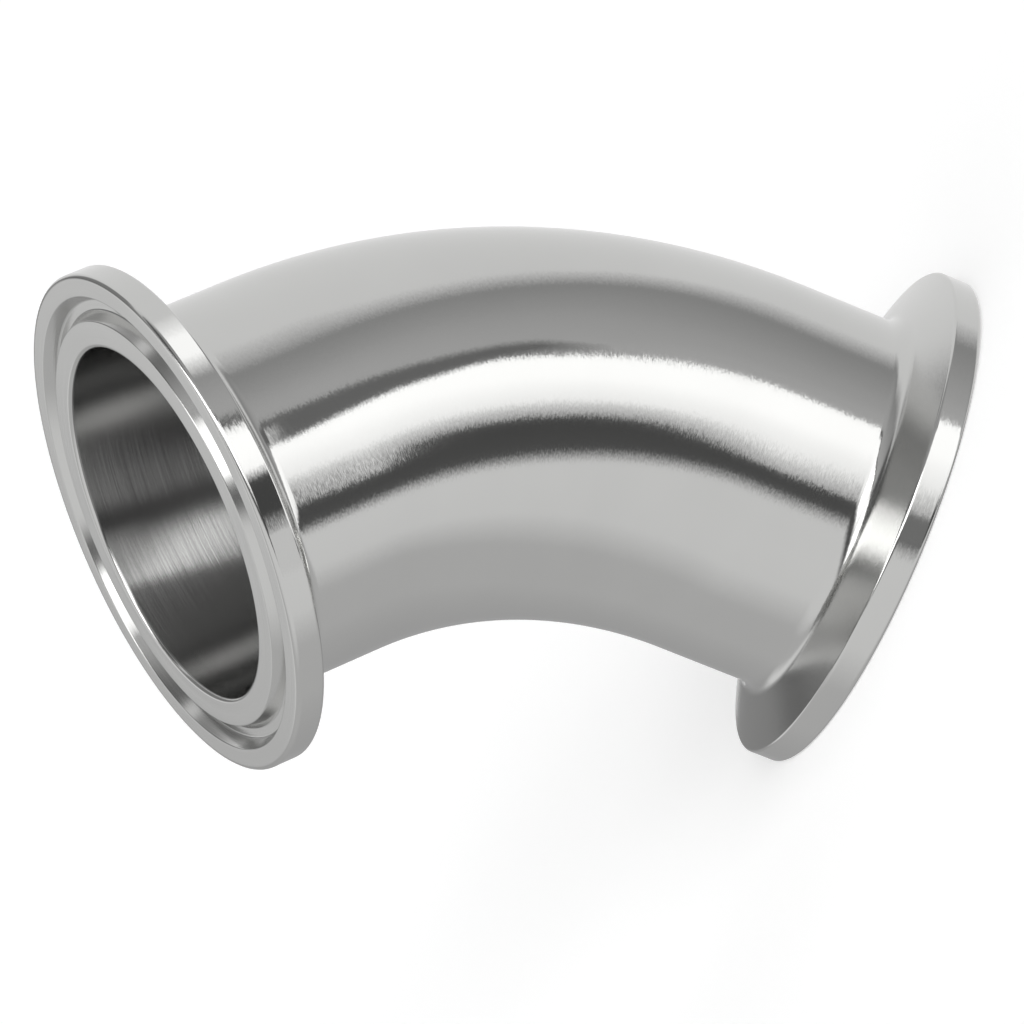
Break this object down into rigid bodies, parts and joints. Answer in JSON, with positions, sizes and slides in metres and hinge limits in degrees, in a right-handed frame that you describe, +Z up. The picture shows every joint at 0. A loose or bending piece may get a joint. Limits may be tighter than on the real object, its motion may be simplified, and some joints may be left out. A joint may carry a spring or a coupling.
{
  "type": "sanitary clamp elbow",
  "caption": "Short polished stainless elbow of thin tube with a grooved clamp flange at each end, joining hygienic tubing at a slant.",
  "frame": {"origin": "centre of the base port's sealing face", "axes": "+Z up along the base port's axis into the fitting, +X the way the elbow leans, XZ its plane of symmetry"},
  "size_m": [0.0703, 0.0504, 0.0837],
  "materials": {
    "polished_steel": "fine satin polish round the tube, turned faces on the flanges"
  },
  "bodies": {
    "root": {"elbow_body": "polished_steel"}
  },
  "joints": []
}
